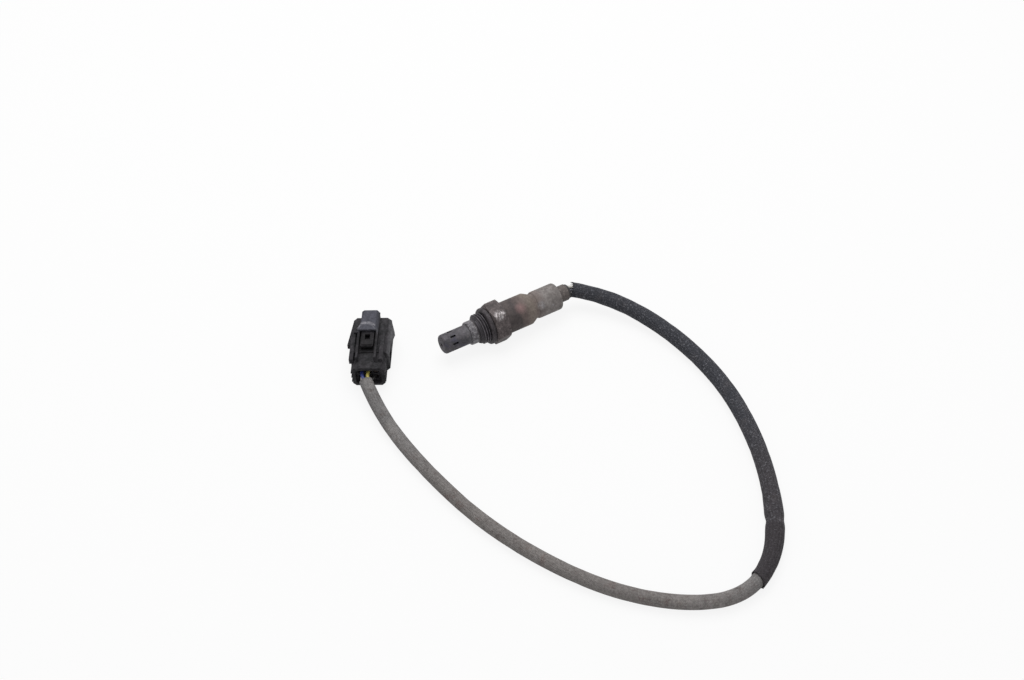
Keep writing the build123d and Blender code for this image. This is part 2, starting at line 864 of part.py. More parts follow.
def lead(index, plug):
    """One lead: straight through the grommet, along in the bundle, and into its cavity."""
    last = len(route) - 1
    left, up = bundle_offset(lead_angle(index, 0), grommet_lead_ring)
    start = Vector(lead_start - sensor_length / 2, left, axis_height + up)
    points, radii = [start, parallel_corner(0, left, up)], [tail_bend_radius]
    for corner in range(1, last):
        left, up = bundle_offset(lead_angle(index, corner / last), bundle_ring)
        points.append(parallel_corner(corner, left, up))
        radii.append(route_radii[corner - 1] + (-left if turns_left(corner) else left))
    left, up = bundle_offset(lead_angle(index, 1), bundle_ring)
    mouth_run = (route[last] - route[last - 1]).normalized()
    points.append(parallel_corner(last, left, up) + mouth_run * fan_start)
    y, z = cavity_centres()[lead_cavities[index]]
    for x in (fan_end, lead_end):
        points.append((plug * Pos(x, y, z)).position)
    line = FilletPolyline(*points, radius=radii + [fan_radius, fan_radius])
    section = Plane(line @ 0, z_dir=line % 0) * RegularPolygon(lead_radius, lead_sides)
    return sweep(section, path=line), line.length


# ---------- assembly ----------

def sensor_pieces():
    """Every piece of the screw-in sensor, by the name of its file."""
    return {
        "outer_probe_cap": outer_probe_cap(),
        "inner_probe_cap": inner_probe_cap(),
        "sensing_element": sensing_element(),
        "hex_shell": shell(),
        "sealing_washer": sealing_washer(),
        "front_holder": front_holder(),
        "talc_seal": talc_seal(),
        "rear_ceramic": rear_ceramic(),
        "packing_ring": packing_ring(),
        "front_casing": front_casing(),
        "rear_casing": rear_casing(),
        "contact_block": contact_block(),
        "contact_springs": contact_springs(),
        "holder_spring": holder_spring(),
        "grommet": grommet(),
    }


def plug_pieces():
    """Every piece of the plug, by the name of its file."""
    return {
        "plug_housing": plug_housing(),
        "terminal_retainer": terminal_retainer(),
        "ring_seal": ring_seal(),
        "wire_seals": wire_seals(),
        "blind_plug": blind_plug(),
        "terminals": terminals(),
    }


def main():
    """Build every piece in its place and write one file for each."""
    os.makedirs("parts", exist_ok=True)
    print("bend radii", [round(radius, 1) for radius in route_radii])
    pieces = {name: SENSOR * piece for name, piece in sensor_pieces().items()}
    plug = plug_place()
    pieces.update({name: plug * piece for name, piece in plug_pieces().items()})
    pieces["dark_sleeve"] = dark_sleeve()
    pieces["grey_sleeve"] = grey_sleeve()
    for index, colour in enumerate(lead_colours):
        pieces[colour + "_lead"], length = lead(index, plug)
        print(colour, "lead", round(length, 1), "mm")
    for name, piece in pieces.items():
        export_step(piece, "parts/" + name + ".step")


main()
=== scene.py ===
from math import atan2, cos, exp, hypot, pi, radians, sin

import bpy
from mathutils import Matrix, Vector, noise


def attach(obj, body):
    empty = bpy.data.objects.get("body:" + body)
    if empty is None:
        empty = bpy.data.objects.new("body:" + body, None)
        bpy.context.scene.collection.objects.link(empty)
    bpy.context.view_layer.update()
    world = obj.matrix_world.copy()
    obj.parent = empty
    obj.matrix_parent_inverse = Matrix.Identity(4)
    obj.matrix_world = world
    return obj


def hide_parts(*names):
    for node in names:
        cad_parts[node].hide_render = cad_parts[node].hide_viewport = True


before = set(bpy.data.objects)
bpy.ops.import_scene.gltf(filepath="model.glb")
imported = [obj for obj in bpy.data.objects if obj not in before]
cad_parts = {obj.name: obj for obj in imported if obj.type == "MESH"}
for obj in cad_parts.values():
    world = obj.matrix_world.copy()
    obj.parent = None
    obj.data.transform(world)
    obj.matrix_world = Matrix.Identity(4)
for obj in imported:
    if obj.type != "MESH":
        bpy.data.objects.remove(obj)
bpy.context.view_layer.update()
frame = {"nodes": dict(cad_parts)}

nodes = frame["nodes"]

# ---------------------------------------------------------------- camera
# It looks down on the sensor at 47 degrees, from the side of the probe's tip and of the
# leads' loop, with a 53 mm lens from a little under a metre away.

view_turn, view_tilt, view_distance = radians(-30.81), radians(47), 0.86105
aim = Vector((-0.00063, -0.0080, 0))

camera = bpy.data.objects.new("camera", bpy.data.cameras.new("camera"))
bpy.context.collection.objects.link(camera)
camera.data.lens = 53
camera.data.sensor_width = 36
camera.location = aim + view_distance * Vector(
    (sin(view_turn) * cos(view_tilt), -cos(view_turn) * cos(view_tilt), sin(view_tilt))
)
camera.rotation_euler = (pi / 2 - view_tilt, 0, view_turn)
bpy.context.scene.camera = camera

# ---------------------------------------------------------------- dark sleeve
# A braided sleeve of dark yarn, 9 mm across, slipped over the leads behind the grommet and over
# the end of the grey sleeve. It is pinched where the grey sleeve begins, lies flattened either side
# of there, and is cut with scissors: frayed at the sensor, askew at the other end.

sensor_half = 0.041675
axis_z = 0.011
tail_bend = Vector((sensor_half + 0.0024, 0, axis_z))
floor_points = (
    (0.0605, -0.0128, 0.0088), (0.0776, -0.0499, 0.0053), (0.0819, -0.0957, 0.0046),
    (0.073, -0.1388, 0.0046), (0.056, -0.1773, 0.0046), (0.0343, -0.2068, 0.0046),
    (0.0055, -0.2182, 0.0046), (-0.0255, -0.2028, 0.0038), (-0.0546, -0.1712, 0.0038),
    (-0.0795, -0.1188, 0.0038), (-0.0901, -0.065, 0.0038), (-0.0925, -0.021, 0.0043),
    (-0.0895, -0.0003, 0.0086),
)
route = [tail_bend] + [Vector(point) for point in floor_points]
dark_last, grey_first = 6, 5
dark_radius, grey_radius = 0.00455, 0.00376
dark_wall, grey_wall = 0.00055, 0.0006


class Value:
    """A number on its way through the nodes: sums are written as they are said."""

    def __init__(self, nodes, socket):
        self.nodes, self.socket = nodes, socket

    def __add__(self, other):
        return self.nodes.maths("ADD", self, other)

    def __radd__(self, other):
        return self.nodes.maths("ADD", other, self)

    def __sub__(self, other):
        return self.nodes.maths("SUBTRACT", self, other)

    def __rsub__(self, other):
        return self.nodes.maths("SUBTRACT", other, self)

    def __mul__(self, other):
        return self.nodes.maths("MULTIPLY", self, other)

    def __rmul__(self, other):
        return self.nodes.maths("MULTIPLY", other, self)

    def __truediv__(self, other):
        return self.nodes.maths("DIVIDE", self, other)

    def __abs__(self):
        return self.nodes.maths("ABSOLUTE", self)


class Nodes:
    """The nodes of a material or of the sky."""

    def __init__(self, tree):
        self.tree = tree

    def node(self, kind, settings, sockets, output=0):
        """Adds a node, its settings first, then the values or links of its sockets."""
        made = self.tree.nodes.new(kind)
        for key, value in settings.items():
            setattr(made, key, value)
        for key, value in sockets.items():
            if isinstance(value, Value):
                self.tree.links.new(value.socket, made.inputs[key])
            else:
                made.inputs[key].default_value = value
        return Value(self, made.outputs[output])

    def maths(self, operation, *values):
        return self.node("ShaderNodeMath", {"operation": operation}, dict(enumerate(values)))

    def vectors(self, operation, *values, output="Vector"):
        return self.node(
            "ShaderNodeVectorMath", {"operation": operation}, dict(enumerate(values)), output)


class Finish(Nodes):
    """One material: a Principled shader and whatever nodes lead to it."""

    def __init__(self, name, metallic=0.0, roughness=0.6, specular=0.5):
        self.material = bpy.data.materials.new(name)
        self.material.use_nodes = True
        super().__init__(self.material.node_tree)
        self.shader = self.tree.nodes["Principled BSDF"]
        self.shader.inputs["Metallic"].default_value = metallic
        self.shader.inputs["Roughness"].default_value = roughness
        self.shader.inputs["Specular IOR Level"].default_value = specular
        self.spot = self.node("ShaderNodeTexCoord", {}, {}, "Object")

    def part_of(self, vector, axis):
        """The X, Y or Z of a place."""
        return self.node("ShaderNodeSeparateXYZ", {}, {0: vector}, axis)

    def grain(self, size, detail=3.0, seed=0.0, rough=0.6):
        """Cloudy variation from 0 to 1, its lumps about this many metres across."""
        return self.node(
            "ShaderNodeTexNoise", {"noise_dimensions": "4D"},
            {"Vector": self.spot, "W": seed, "Scale": 1 / size, "Detail": detail,
             "Roughness": rough},
        )

    def mottle(self, size, seed, low=0.72, high=1.28):
        """A strong grain as a tone round 1."""
        return low + (high - low) * self.rise(self.grain(size, 3.0, seed, 0.7), 0.34, 0.66)

    def rise(self, value, low, high):
        """0 below the low value, 1 above the high one, smooth between them."""
        return self.node(
            "ShaderNodeMapRange", {"interpolation_type": "SMOOTHSTEP"},
            {"Value": value, "From Min": low, "From Max": high},
        )

    def near(self, place, inner, outer):
        """1 within the inner distance of a place, fading to 0 at the outer one."""
        distance = self.vectors("DISTANCE", self.spot, place, output="Value")
        return 1 - self.rise(distance, inner, outer)

    def blend(self, share, first, second):
        """From the first colour to the second by share."""
        return self.node("ShaderNodeMix", {"data_type": "RGBA"}, {0: share, 6: first, 7: second}, 2)

    def off_axis(self):
        """Distance from the sensor's axis."""
        away = self.vectors("MULTIPLY_ADD", self.spot, (0, 1, 1), (0, 0, -axis_z))
        return self.vectors("LENGTH", away, output="Value")

    def shaded(self, colour, tone):
        """A colour made darker or lighter by a number round 1."""
        return self.node(
            "ShaderNodeVectorMath", {"operation": "SCALE"}, {0: colour, "Scale": tone}
        )

    def put(self, socket, value):
        self.tree.links.new(value.socket, self.shader.inputs[socket])

    def relief(self, height, depth):
        """Gives the surface this height in metres as a bump."""
        self.put("Normal", self.node("ShaderNodeBump", {}, {"Height": height, "Distance": depth}))


def colour(red, green, blue):
    """A colour as a screen shows it, from 0 to 255, as the linear one that a shader takes."""
    return tuple(((part / 255 + 0.055) / 1.055) ** 2.4 for part in (red, green, blue)) + (1.0,)


def smooth_curve(name, corners, steps):
    """A smooth curve that these corners control."""
    curve = bpy.data.curves.new(name, "CURVE")
    curve.dimensions = "3D"
    spline = curve.splines.new("NURBS")
    spline.points.add(len(corners) - 1)
    for point, corner in zip(spline.points, corners):
        point.co = (*corner, 1)
    spline.order_u = 3
    spline.use_endpoint_u = True
    spline.resolution_u = steps
    return curve


def laid_line(corners, steps=44):
    """Points along the smooth curve of these corners."""
    curve = smooth_curve("line", corners, steps)
    holder = bpy.data.objects.new("line", curve)
    mesh = bpy.data.meshes.new_from_object(holder)
    points = [vertex.co.copy() for vertex in mesh.vertices]
    bpy.data.objects.remove(holder)
    bpy.data.curves.remove(curve)
    bpy.data.meshes.remove(mesh)
    return points


def length_of(line):
    return sum((after - before).length for before, after in zip(line, line[1:]))


def alone(piece):
    """Selects one object and nothing else."""
    bpy.ops.object.select_all(action="DESELECT")
    bpy.context.view_layer.objects.active = piece
    piece.select_set(True)


def edit(piece):
    """Takes one object into edit mode with everything in it selected."""
    alone(piece)
    bpy.ops.object.mode_set(mode="EDIT")
    bpy.ops.mesh.select_all(action="SELECT")


def sleeve_tube(name, line, radius_at, slip_at, wall, sides=48):
    """A woven tube round a line. Its UV map holds metres along it and turns round it."""
    rings, faces, places, travelled = [], [], [], 0.0
    for index, point in enumerate(line):
        before, after = line[max(index - 1, 0)], line[min(index + 1, len(line) - 1)]
        along = (after - before).normalized()
        left = Vector((0, 0, 1)).cross(along).normalized()
        above = along.cross(left)
        if index:
            travelled += (point - line[index - 1]).length
        places.append(travelled)
        for side in range(sides):
            turn = 2 * pi * side / sides
            out = radius_at(travelled, turn) * (left * cos(turn) + above * sin(turn))
            rings.append(point + out + along * slip_at(travelled, turn))
    for ring in range(len(line) - 1):
        for side in range(sides):
            next_side = (side + 1) % sides
            faces.append((
                ring * sides + side, ring * sides + next_side,
                (ring + 1) * sides + next_side, (ring + 1) * sides + side,
            ))
    mesh = bpy.data.meshes.new(name)
    mesh.from_pydata(rings, [], faces)
    layer = mesh.uv_layers.new(name="UVMap")
    for face in mesh.polygons:
        ring, side = divmod(face.index, sides)
        corners = ((ring, side), (ring, side + 1), (ring + 1, side + 1), (ring + 1, side))
        for loop, (row, column) in zip(face.loop_indices, corners):
            layer.data[loop].uv = (places[row], column / sides)
    piece = bpy.data.objects.new(name, mesh)
    bpy.context.collection.objects.link(piece)
    edit(piece)
    bpy.ops.mesh.normals_make_consistent(inside=False)
    bpy.ops.object.mode_set(mode="OBJECT")
    solid = piece.modifiers.new("wall", "SOLIDIFY")
    solid.thickness = wall
    solid.offset = -1
    bpy.ops.object.modifier_apply(modifier="wall")
    bpy.ops.object.shade_smooth()
    return piece


def braid(finish, strand, strands_round):
    """Height of crossing strands, 0 in the gaps and 1 on top, and which of the two is on top."""
    map_place = finish.node("ShaderNodeTexCoord", {}, {}, "UV")
    along = finish.part_of(map_place, "X") / strand
    around = finish.part_of(map_place, "Y") * strands_round
    right, left = along + around, along - around
    strand_number = finish.maths("FLOOR", right) + finish.maths("FLOOR", left)
    over = finish.maths("MODULO", strand_number + 1000, 2)
    crown_right = abs(finish.maths("SINE", right * pi))
    crown_left = abs(finish.maths("SINE", left * pi))
    return crown_right * (1 - over) + crown_left * over, over


pinch_at, pinch_depth, pinch_length = 0.2058, 0.0007, 0.0026
flattening, flattened_length = 0.0006, 0.018
dark_line = laid_line(
    [tail_bend + (route[1] - tail_bend).normalized() * 0.0006, *route[1:dark_last + 1],
     (route[dark_last] + route[dark_last + 1]) / 2],
)
dark_length = length_of(dark_line)


def dark_radius_at(travelled, turn):
    """Loose over the leads, pinched where the grey sleeve begins and flattened round there."""
    waves = 0.00007 * sin(travelled * 260 + 2 * turn) + 0.00005 * sin(travelled * 610 - turn)
    off_pinch = travelled - pinch_at
    pinch = pinch_depth * exp(-(off_pinch / pinch_length) ** 2) * (0.75 - 0.25 * cos(turn))
    slim = 0.00030 * max(0.0, 1 - travelled / 0.05)
    flare = 0.00012 * exp(-((travelled - dark_length) / 0.0015) ** 2)
    flattened = flattening * exp(-(off_pinch / flattened_length) ** 2) * cos(turn) ** 2
    tube = min(dark_radius - slim + waves, dark_radius - 0.00002) - pinch
    return tube + flare * abs(cos(turn)) + flattened


def dark_slip_at(travelled, turn):
    """The scissors' cut: ragged at both ends, and askew at the one over the grey sleeve."""
    ragged = 0.00035 * noise.noise(Vector((cos(turn) * 3, sin(turn) * 3, 1)))
    askew = (0.0015 + 0.0015 * cos(turn)) * exp((travelled - dark_length) / 0.004)
    return ragged * (exp(-travelled / 0.001) + exp((travelled - dark_length) / 0.001)) + askew


dark_sleeve = sleeve_tube("dark_sleeve_braid", dark_line, dark_radius_at, dark_slip_at, dark_wall)

dark_yarn = Finish("dark_yarn", roughness=0.75, specular=0.2)
crown, over = braid(dark_yarn, strand=0.0011, strands_round=17)
# Painted shade: the gaps between the crossing strands are darkened in colour; the mottle on top is
# random tone.
tone = (0.84 + 0.18 * crown) * dark_yarn.mottle(0.001, 12.0, 0.66, 1.34)
glint = dark_yarn.rise(dark_yarn.grain(0.001, 3.0, 2.0, 0.8), 0.54, 0.64)
dust = dark_yarn.rise(dark_yarn.grain(0.006, 4.0, 5.0), 0.5, 0.72)
yarn = dark_yarn.blend(over, colour(49, 50, 56), colour(56, 57, 62))
yarn = dark_yarn.blend(dust * 0.35, yarn, colour(88, 84, 86))
along_sleeve = dark_yarn.part_of(dark_yarn.node("ShaderNodeTexCoord", {}, {}, "UV"), "X")
stretched = dark_yarn.rise(along_sleeve, pinch_at + 0.001, pinch_at + 0.006)
browned = dark_yarn.rise(along_sleeve, 0.13, 0.18)
yarn = dark_yarn.blend(browned * 0.5, yarn, colour(62, 56, 57))
yarn = dark_yarn.blend(stretched * 0.8, yarn, colour(52, 48, 51))
yarn = dark_yarn.blend(glint * (0.6 - 0.4 * stretched), yarn, colour(128, 128, 134))
dark_yarn.put("Base Color", dark_yarn.shaded(yarn, tone))
dark_yarn.relief(crown, 0.00018)
dark_sleeve.data.materials.append(dark_yarn.material)

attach(dark_sleeve, "root")
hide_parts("dark_sleeve")

# ---------------------------------------------------------------- frayed yarn
# Ends of the cut braid that stand away from the sleeve's mouth behind the grommet, and a few at
# its other end. Each is a millimetre or two of single yarn, stiff with dirt.


def round_strand(name, corners, steps, radius, roundness):
    """A round strand along the smooth curve of these corners, closed at its ends."""
    curve = smooth_curve(name, corners, steps)
    curve.bevel_depth = radius
    curve.bevel_resolution = roundness
    curve.use_fill_caps = True
    strand = bpy.data.objects.new(name, curve)
    bpy.context.collection.objects.link(strand)
    return strand


def yarn_end(place, first, second, thickness):
    """One loose end that leaves a place in one direction and droops into another."""
    return round_strand(
        "yarn_end", (place, place + first, place + first + second), 6, thickness, 1)


def joined(name, parts):
    """One object from several, as a mesh."""
    bpy.ops.object.select_all(action="DESELECT")
    for part in parts:
        part.select_set(True)
    bpy.context.view_layer.objects.active = parts[0]
    bpy.ops.object.convert(target="MESH")
    bpy.ops.object.join()
    piece = bpy.context.object
    piece.name = name
    return piece


mouth = dark_line[0]
mouth_along = (dark_line[1] - dark_line[0]).normalized()
mouth_left = Vector((0, 0, 1)).cross(mouth_along).normalized()
mouth_above = mouth_along.cross(mouth_left)
rim_radius = dark_radius - 0.0006
ends_at_cut, ends_at_mouth, ends_bunched = 5, 22, 15
strands = []
noise.seed_set(13)
cut_along = (dark_line[-1] - dark_line[-2]).normalized()
cut_left = Vector((0, 0, 1)).cross(cut_along).normalized()
for index in range(ends_at_cut):
    start = dark_line[-1] + cut_left * rim_radius + cut_along * 0.0022
    start += Vector((0, 0, 0.0009)) * (index - ends_at_cut // 2)
    sway = noise.random_unit_vector() * 0.0003
    strands.append(yarn_end(
        start, cut_along * 0.0006 + cut_left * 0.0003 + sway, cut_along * 0.0005 - sway, 0.00012))
for index in range(ends_at_mouth):
    bunched = index < ends_bunched
    turn = radians(62 + 150 * noise.random() if bunched else 360 * noise.random())
    rim = mouth_left * cos(turn) + mouth_above * sin(turn)
    start = mouth + rim * rim_radius + mouth_along * 0.0008
    sway = noise.random_unit_vector() * 0.0005
    reach = 0.0007 + 0.0009 * noise.random()
    strands.append(yarn_end(
        start, -mouth_along * reach + rim * 0.0006 + sway,
        -mouth_along * reach * 0.6 + Vector((0, 0, -0.0003)) - sway,
        0.00009 + 0.00005 * noise.random(),
    ))
frayed = joined("frayed_yarn", strands)
loose_yarn = Finish("loose_yarn", roughness=0.85, specular=0.3)
pale = loose_yarn.rise(loose_yarn.grain(0.001, 2.0, 1.0), 0.45, 0.65)
loose_yarn.put("Base Color", loose_yarn.blend(pale, colour(38, 38, 41), colour(88, 86, 88)))
frayed.data.materials.append(loose_yarn.material)
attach(frayed, "root")

# ---------------------------------------------------------------- grey sleeve
# A slimmer braided sleeve of grey yarn, stiff with road dirt. It begins inside the dark sleeve
# and stops just behind the plug, where the leads fan out.

grey_line = laid_line(
    [(route[grey_first] + route[grey_first + 1]) / 2, *route[grey_first + 1:]])
grey_length = length_of(grey_line)


def grey_radius_at(travelled, turn):
    """Nearly even, a little lumpy over the twisted leads."""
    lumps = 0.00006 * sin(travelled * 180 + 2 * turn + 1) + 0.00004 * sin(travelled * 470 - turn)
    return min(grey_radius + lumps, grey_radius - 0.00001)


def grey_slip_at(travelled, turn):
    """A cut end that is a little out of square."""
    ragged = noise.noise(Vector((cos(turn) * 3, sin(turn) * 3, 4)))
    uneven = 0.0003 * sin(turn + 1) + 0.0002 * ragged
    return uneven * exp((travelled - grey_length) / 0.001)


grey_sleeve = sleeve_tube("grey_sleeve_braid", grey_line, grey_radius_at, grey_slip_at, grey_wall)

grey_yarn = Finish("grey_yarn", roughness=0.85, specular=0.25)
crown, over = braid(grey_yarn, strand=0.0009, strands_round=16)
blotch = grey_yarn.rise(grey_yarn.grain(0.010, 4.0, 3.0), 0.42, 0.68)
grime = grey_yarn.rise(grey_yarn.grain(0.003, 4.0, 8.0, 0.75), 0.5, 0.68)
along_sleeve = grey_yarn.part_of(grey_yarn.node("ShaderNodeTexCoord", {}, {}, "UV"), "X")
middle = grey_yarn.rise(along_sleeve, 0.02, 0.09) * (1 - grey_yarn.rise(along_sleeve, 0.2, 0.28))
yarn = grey_yarn.blend(blotch, colour(116, 114, 114), colour(138, 135, 134))
yarn = grey_yarn.blend(middle * 0.5, yarn, colour(124, 117, 113))
yarn = grey_yarn.blend(grime * 0.65, yarn, colour(86, 76, 74))
splash = grey_yarn.rise(grey_yarn.grain(0.007, 4.0, 16.0, 0.7), 0.56, 0.66)
yarn = grey_yarn.blend(splash * 0.45 * middle, yarn, colour(98, 78, 74))
yarn = grey_yarn.blend(over * 0.2, yarn, colour(140, 138, 137))
plug_end = grey_yarn.rise(along_sleeve, 0.13, 0.30)
# Painted shade: the gaps between the crossing strands are darkened in colour; the mottle on top is
# random tone.
tone = (0.88 + 0.18 * crown) * grey_yarn.mottle(0.001, 12.0, 0.78, 1.2)
grey_yarn.put("Base Color", grey_yarn.shaded(yarn, tone * (1 - 0.08 * plug_end)))
grey_yarn.relief(crown, 0.0002)
grey_sleeve.data.materials.append(grey_yarn.material)

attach(grey_sleeve, "root")
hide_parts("grey_sleeve")

# ---------------------------------------------------------------- leads
# Five stranded leads in coloured insulation. Each comes straight out of its hole in the grommet,
# twists along inside the sleeves with the others, and fans out into its cavity in the plug.

lead_radius, wire_start, wire_overshoot = 0.00095, 0.0395, 0.0014
grommet_ring, bundle_ring = 0.0024, 0.00172
cavity_mouth, cavity_end = 0.0016, 0.0221
plug_rear = Vector((-0.0865, 0.0019, 0.0003))
plug_yaw, plug_roll = radians(58.2), radians(-2)
plug_along = Vector((cos(plug_yaw), sin(plug_yaw), 0))
plug_left = Vector((
    -sin(plug_yaw) * cos(plug_roll), cos(plug_yaw) * cos(plug_roll), sin(plug_roll)))
plug_up = plug_along.cross(plug_left)


def in_plug(along, left, up):
    """A place in the plug, measured from the foot of its rear face."""
    return plug_rear + plug_along * along + plug_left * left + plug_up * up


def beside_route(index, left, up):
    """A corner of a line that runs beside the route."""
    into = route[index] - route[index - 1] if index else Vector((1, 0, 0))
    out = route[index + 1] - route[index] if index + 1 < len(route) else into
    into, out = Vector((into.x, into.y)).normalized(), Vector((out.x, out.y)).normalized()
    middle = (into + out).normalized()
    across = Vector((-middle.y, middle.x, 0)) / middle.dot(into)
    return route[index] + across * left + Vector((0, 0, up))


leads = (
    ("yellow", (194, 180, 92), 0.0, 0.00985, 0.5516),
    ("blue", (42, 56, 122), 0.004, 0.00985, 0.5596),
    ("white", (214, 211, 204), 0.004, 0.00565, 0.5690),
    ("grey", (112, 112, 114), 0.0, 0.00565, 0.5665),
    ("black", (36, 35, 37), -0.004, 0.00565, 0.5573),
)
first_angle, angle_between = 54, 72
last = len(route) - 1
for number, (name, tint, cavity_left, cavity_up, length) in enumerate(leads):
    corners = []
    for index in range(last + 1):
        angle = radians(first_angle + angle_between * (number - 1 + index / last))
        ring = bundle_ring if index else grommet_ring
        corners.append(beside_route(index, -ring * cos(angle), ring * sin(angle)))
    exit_angle = radians(first_angle + angle_between * (number - 1))
    out_of = Vector((
        wire_start, -grommet_ring * cos(exit_angle), axis_z + grommet_ring * sin(exit_angle)
    ))
    corners[last] += (route[last] - route[last - 1]).normalized() * wire_overshoot
    corners = [out_of, *corners, in_plug(cavity_mouth, cavity_left, cavity_up),
               in_plug(cavity_end, cavity_left, cavity_up)]
    lead = round_strand(name + "_wire", corners, 14, lead_radius, 3)
    insulation = Finish(name + "_insulation", roughness=0.5)
    dirt = insulation.rise(insulation.grain(0.0018, 4.0, float(number)), 0.48, 0.7)
    sooted = 0.2 if name == "white" else 0.85
    stained = insulation.near((sensor_half, 0, axis_z), 0.006, 0.012) * sooted
    soiled = insulation.blend(dirt * 0.5, colour(*tint), colour(92, 86, 80))
    insulation.put("Base Color", insulation.blend(stained, soiled, colour(46, 43, 43)))
    insulation.put("Roughness", 0.42 + 0.3 * dirt)
    insulation.relief(insulation.grain(0.0006, 2.0, number + 9.0), 0.00004)
    lead.data.materials.append(insulation.material)
    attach(lead, "root")
    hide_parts(name + "_lead")

# ---------------------------------------------------------------- probe cap
# The outer of two steel cups that shield the element: drawn from thin sheet, with a rounded end,
# a hole in it and eight slots, dull and bluish from the heat of the exhaust.

cap_radius, cap_wall, cap_round, end_hole = 0.00565, 0.0005, 0.0016, 0.0011
cap_shown, cap_in_nose = 0.01658, 0.0038
cap_seat = cap_shown + cap_in_nose


def at(station):
    """Where a station, measured in metres from the probe's tip, lies along X."""
    return station - sensor_half


def finished(piece, crease=30):
    """Shades the curved faces smooth and keeps the creases."""
    alone(piece)
    bpy.ops.object.shade_smooth_by_angle(angle=radians(crease))


def rounding(station, radius, size, start, end, steps=7):
    """Corners of a rounding about a centre, its ends given as angles in degrees."""
    angles = [radians(start + (end - start) * step / steps) for step in range(steps + 1)]
    return [(station + size * cos(angle), radius + size * sin(angle)) for angle in angles]


def section(name, corners):
    """One vertex, drawn out from corner to corner (station, radius) above the sensor's axis."""
    bpy.ops.object.select_all(action="DESELECT")
    bpy.ops.mesh.primitive_plane_add(size=0.0001)
    piece = bpy.context.object
    piece.name = name
    edit(piece)
    bpy.ops.mesh.merge(type="CENTER")
    places = [Vector((at(station), 0, axis_z + radius)) for station, radius in corners]
    bpy.ops.transform.translate(value=places[0])
    for here, there in zip(places, places[1:]):
        bpy.ops.mesh.extrude_vertices_move(TRANSFORM_OT_translate={"value": there - here})
    return piece


def turned(name, corners, steps=112):
    """A turned or drawn ring: its section goes once round the sensor's axis."""
    piece = section(name, [*corners, corners[0]])
    bpy.ops.mesh.select_all(action="SELECT")
    bpy.ops.mesh.spin(steps=steps, angle=2 * pi, center=(0, 0, axis_z), axis=(1, 0, 0))
    bpy.ops.mesh.select_all(action="SELECT")
    bpy.ops.mesh.remove_doubles(threshold=0.000002)
    bpy.ops.mesh.normals_make_consistent(inside=False)
    bpy.ops.object.mode_set(mode="OBJECT")
    return piece


def cut(piece, cutter, operation="DIFFERENCE"):
    """Cuts a piece with another one, which is used up."""
    alone(piece)
    boolean = piece.modifiers.new("cut", "BOOLEAN")
    boolean.operation = operation
    boolean.solver = "EXACT"
    boolean.object = cutter
    bpy.ops.object.modifier_apply(modifier="cut")
    bpy.data.objects.remove(cutter)


def broken_edges(piece, width, wear_and_highlight, angle=30):
    """Takes the sharp edges off, and gives them a worn finish of their own."""
    alone(piece)
    bevel = piece.modifiers.new("edges", "BEVEL")
    bevel.width = width
    bevel.segments = 2
    bevel.limit_method = "ANGLE"
    bevel.angle_limit = radians(angle)
    bevel.material = wear_and_highlight
    bpy.ops.object.modifier_apply(modifier="edges")


probe_cap = turned("probe_cap", [
    (0, end_hole), *rounding(cap_round, cap_radius - cap_round, cap_round, 180, 90),
    (cap_seat, cap_radius), (cap_seat, cap_radius - cap_wall),
    *rounding(cap_round, cap_radius - cap_round, cap_round - cap_wall, 90, 180),
    (cap_wall, end_hole),
])
slot_length, slot_width, slot_station = 0.0035, 0.0012, 0.0064
slot_count, first_slot = 8, 19
bpy.ops.object.select_all(action="DESELECT")
bpy.ops.mesh.primitive_cylinder_add(vertices=24, radius=slot_width / 2, depth=0.002)
punch = bpy.context.object
stretch = (slot_length - slot_width) / 2
for vertex in punch.data.vertices:
    vertex.co.x += stretch if vertex.co.x > 0 else -stretch
cutters = []
for number in range(slot_count):
    turn = radians(first_slot + 360 / slot_count * number)
    cutter = punch.copy()
    cutter.data = punch.data.copy()
    cutter.rotation_euler = (turn - pi / 2, 0, 0)
    cutter.location = (
        at(slot_station), cap_radius * cos(turn), axis_z + cap_radius * sin(turn))
    bpy.context.collection.objects.link(cutter)
    cutters.append(cutter)
bpy.data.objects.remove(punch)
slots = joined("slots", cutters)
bpy.ops.object.transform_apply(location=True, rotation=True, scale=True)
cut(probe_cap, slots)
finished(probe_cap)

cap_steel = Finish("cap_steel", roughness=0.55, specular=0.35)
station = cap_steel.part_of(cap_steel.spot, "X") + sensor_half
cloud = cap_steel.grain(0.0045, 4.0, 1.0)
fine = cap_steel.grain(0.0009, 3.0, 2.0)
steel = cap_steel.blend(cap_steel.rise(cloud, 0.4, 0.62), colour(64, 63, 67), colour(84, 81, 85))
steel = cap_steel.blend(
    cap_steel.rise(cap_steel.grain(0.006, 2.0, 6.0), 0.5, 0.68) * 0.5, steel, colour(74, 72, 90))
steel = cap_steel.blend(
    cap_steel.rise(cap_steel.grain(0.003, 2.0, 9.0), 0.6, 0.72) * 0.5, steel, colour(104, 86, 88))
ash = cap_steel.rise(station + 0.003 * cloud, 0.0165, 0.0195)
dusted = cap_steel.rise(station + 0.006 * cloud, 0.0150, 0.0195)
steel = cap_steel.blend(dusted * 0.4, steel, colour(112, 110, 113))
cap_steel.put("Base Color", cap_steel.shaded(steel, cap_steel.mottle(0.001, 12.0, 0.8, 1.2)))
cap_steel.put("Metallic", 0.4 - 0.3 * ash)
cap_steel.put("Roughness", 0.5 + 0.3 * fine)
cap_steel.relief(fine, 0.00006)
probe_cap.data.materials.append(cap_steel.material)
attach(probe_cap, "root")
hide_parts("outer_probe_cap")

nodes["inner_probe_cap"].data.materials.clear()
nodes["inner_probe_cap"].data.materials.append(cap_steel.material)

# ---------------------------------------------------------------- shell
# The body turned from bar stock: nose, M18 thread of 1.5 mm pitch with a run-out groove, and the
# 22 mm hexagon. The nose is grey with ash, the thread black with old paste, and the hexagon sooty
# with bright marks where a spanner has slipped.

